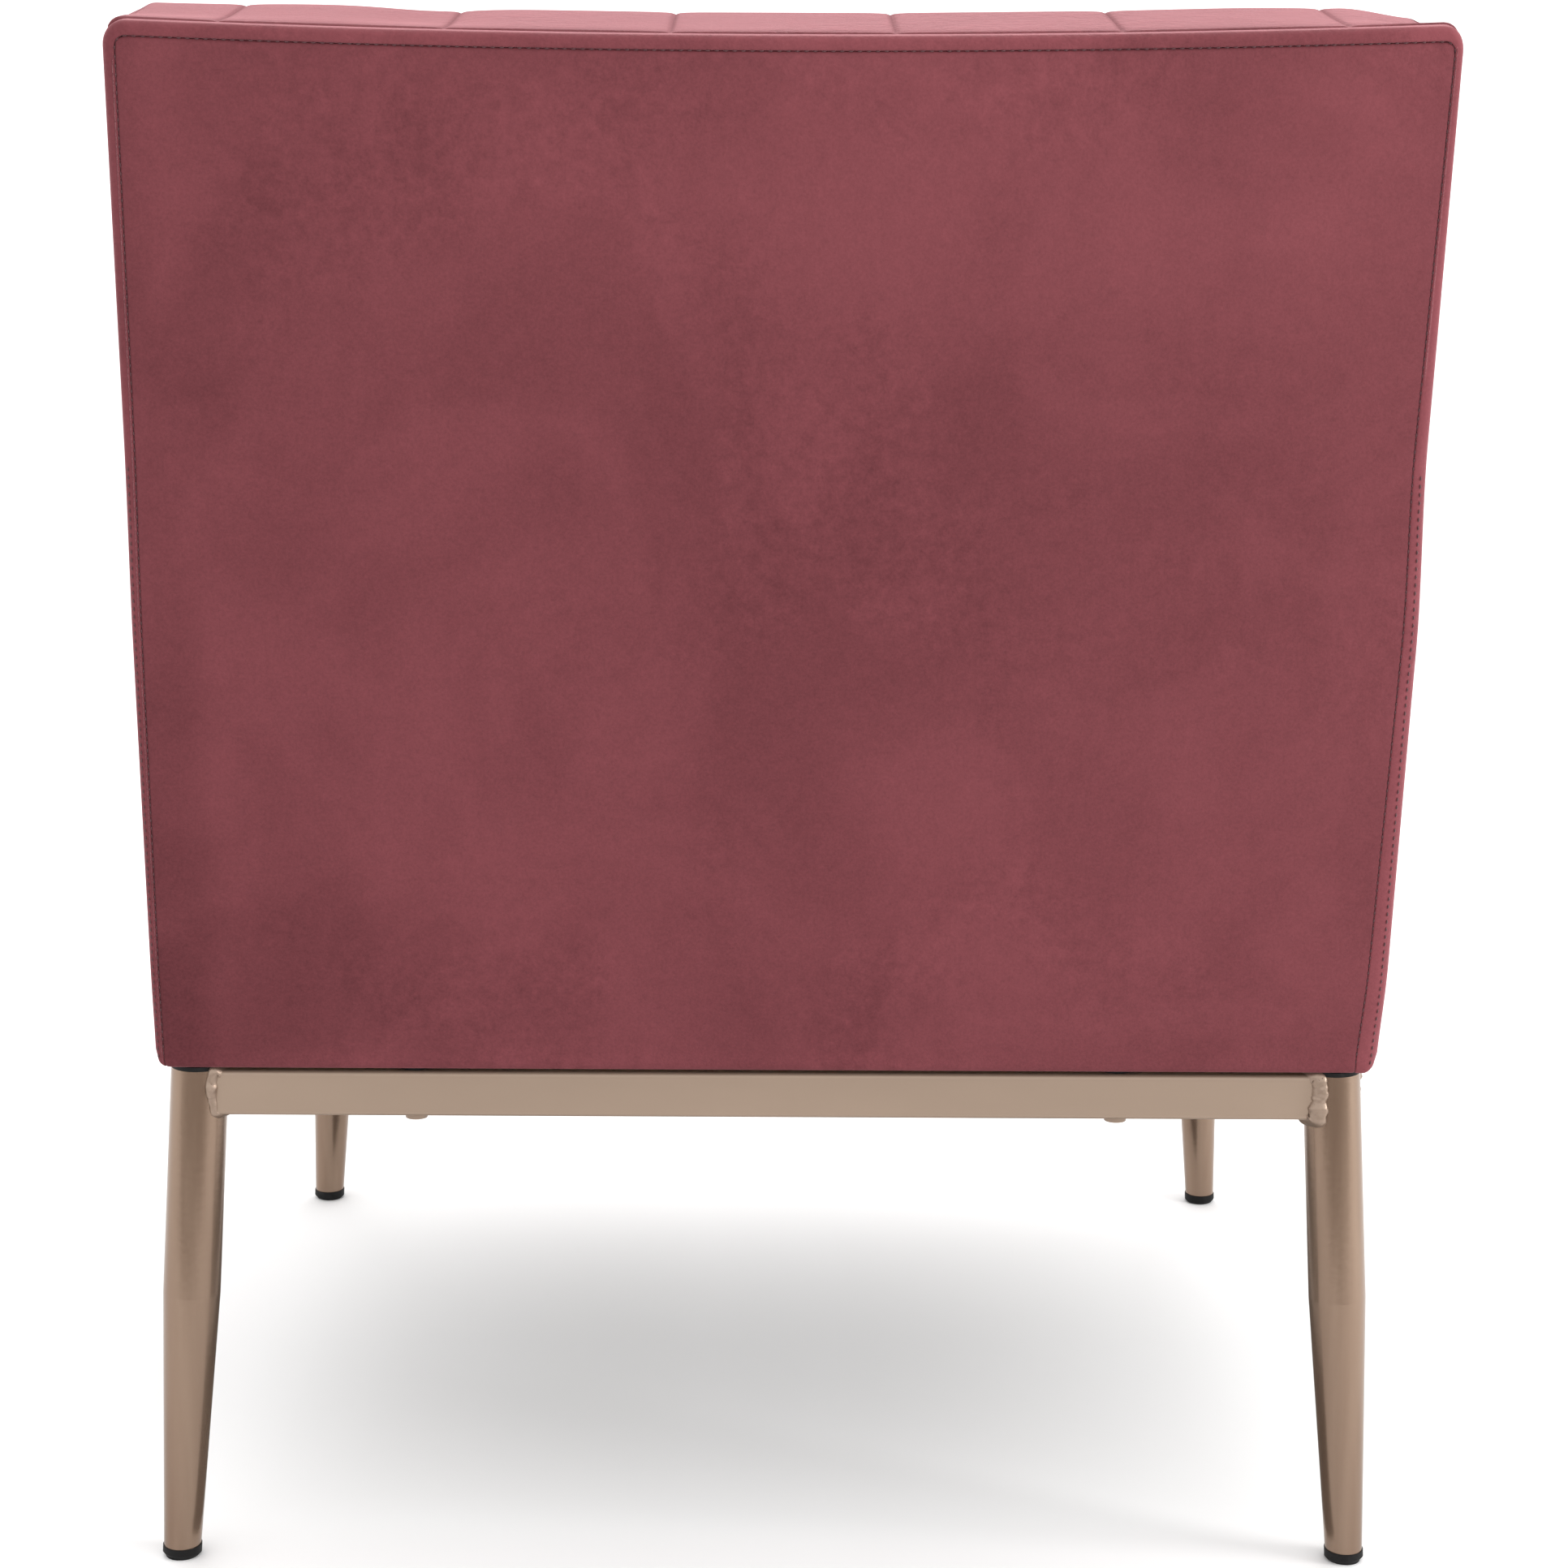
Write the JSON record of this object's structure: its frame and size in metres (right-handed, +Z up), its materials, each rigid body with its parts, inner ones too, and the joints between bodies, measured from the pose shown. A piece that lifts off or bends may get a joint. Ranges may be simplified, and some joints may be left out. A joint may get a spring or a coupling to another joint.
{
  "type": "armchair",
  "caption": "Upholstered armchair with a button-tufted inside back, padded arms and a fitted seat cushion on a welded base of tapered tube legs and square rails.",
  "frame": {"origin": "on the floor, under the middle of the whole outline", "axes": "+Z up, -Y the way the sitter faces, +X the sitter's left"},
  "size_m": [0.6662, 0.7058, 0.8374],
  "materials": {
    "velvet": "short pile velvet with brushed nap",
    "bronze": "satin champagne bronze lacquer",
    "black_plastic": "moulded",
    "rubber": "matte",
    "timber": "unfinished, planed",
    "steel": "zinc plated",
    "felt": "needled felt",
    "webbing": "woven elastic",
    "lining": "thin non-woven lining"
  },
  "bodies": {
    "root": {"leg_front_left": "bronze", "leg_front_right": "bronze", "leg_rear_left": "bronze", "leg_rear_right": "bronze", "foot_tip_front_left": "black_plastic", "foot_tip_front_right": "black_plastic", "foot_tip_rear_left": "black_plastic", "foot_tip_rear_right": "black_plastic", "leg_plug_front_left": "black_plastic", "leg_plug_front_right": "black_plastic", "leg_plug_rear_left": "black_plastic", "leg_plug_rear_right": "black_plastic", "base_rail_front": "bronze", "base_rail_rear": "bronze", "base_rail_left": "bronze", "base_rail_right": "bronze", "weld_beads": "bronze", "rail_pads": "rubber", "frame_bolts": "steel", "insert_nuts": "steel", "seat_rail_front": "timber", "seat_rail_rear": "timber", "seat_rail_left": "timber", "seat_rail_right": "timber", "corner_blocks": "timber", "back_post_left": "timber", "back_post_right": "timber", "back_rail_top": "timber", "back_rail_lower": "timber", "arm_post_left": "timber", "arm_post_right": "timber", "arm_rail_left": "timber", "arm_rail_right": "timber", "seat_springs": "steel", "spring_clips": "steel", "seat_felt": "felt", "back_webbing": "webbing", "dust_cover": "lining", "outside_back": "velvet", "back_border_left": "velvet", "back_border_right": "velvet", "back_border_top": "velvet", "inside_back": "velvet", "tuft_buttons": "velvet", "arm_pad_left": "velvet", "arm_pad_right": "velvet", "arm_front_left": "velvet", "arm_front_right": "velvet", "outside_arm_left": "velvet", "outside_arm_right": "velvet", "front_border": "velvet", "seat_cushion": "velvet"}
  },
  "joints": []
}
